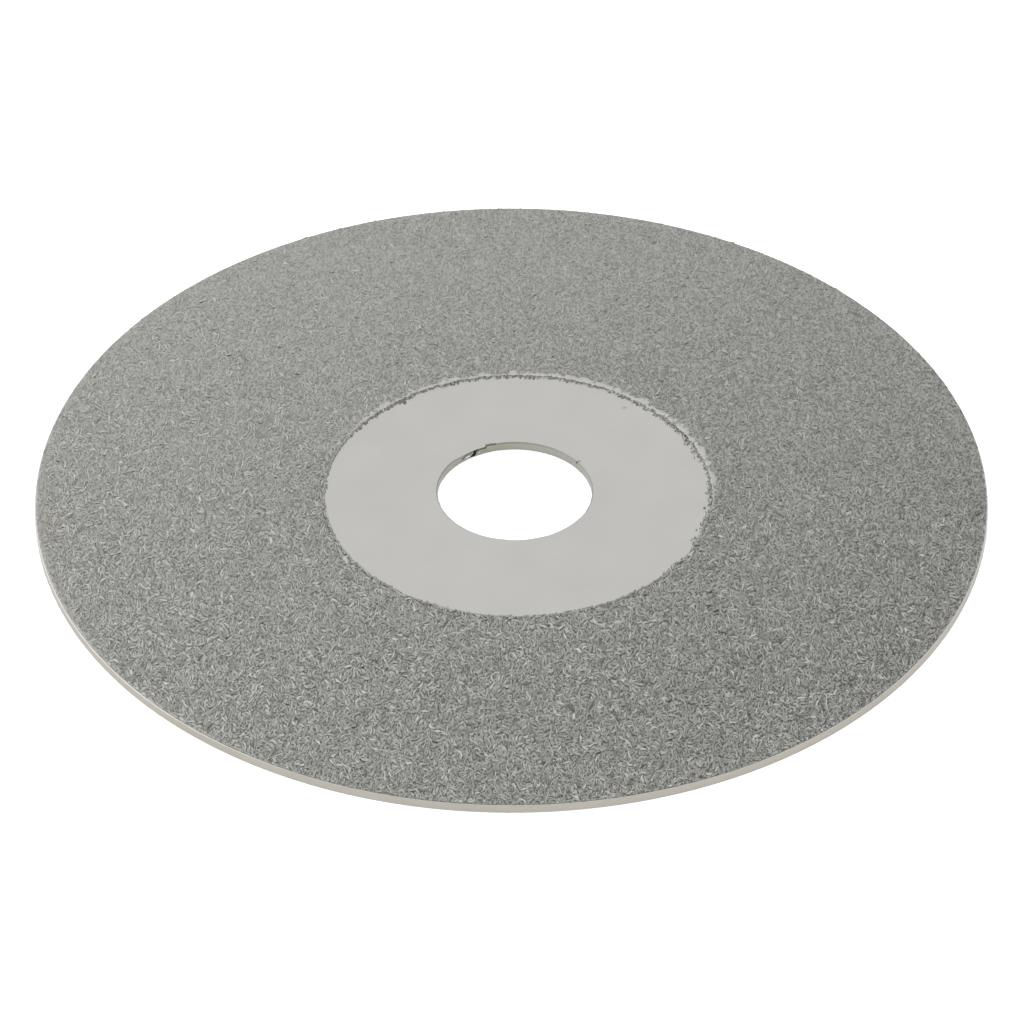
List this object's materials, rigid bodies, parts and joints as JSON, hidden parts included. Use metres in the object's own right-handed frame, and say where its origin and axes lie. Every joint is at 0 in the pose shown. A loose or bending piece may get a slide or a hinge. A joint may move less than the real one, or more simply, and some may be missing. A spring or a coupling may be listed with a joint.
{
  "type": "diamond grinding disc",
  "caption": "Flat round steel disc with one nickel-bonded diamond grit face, a bare plated hub ring and a plain centre bore.",
  "frame": {"origin": "centre of the rim's circle, on the flat back face", "axes": "+Z is normal to the disc, out of the gritted face; +X runs from the rim's centre towards the bore's centre, which is punched 0.36 mm off"},
  "size_m": [0.1, 0.1, 0.0012],
  "materials": {
    "blank_steel": "satin",
    "plated_nickel": "satin",
    "bond_nickel": "matte",
    "diamond": "satin"
  },
  "bodies": {
    "root": {"steel_blank": "blank_steel", "nickel_plating": "plated_nickel", "nickel_bond": "bond_nickel", "diamond_grit": "diamond"}
  },
  "joints": []
}
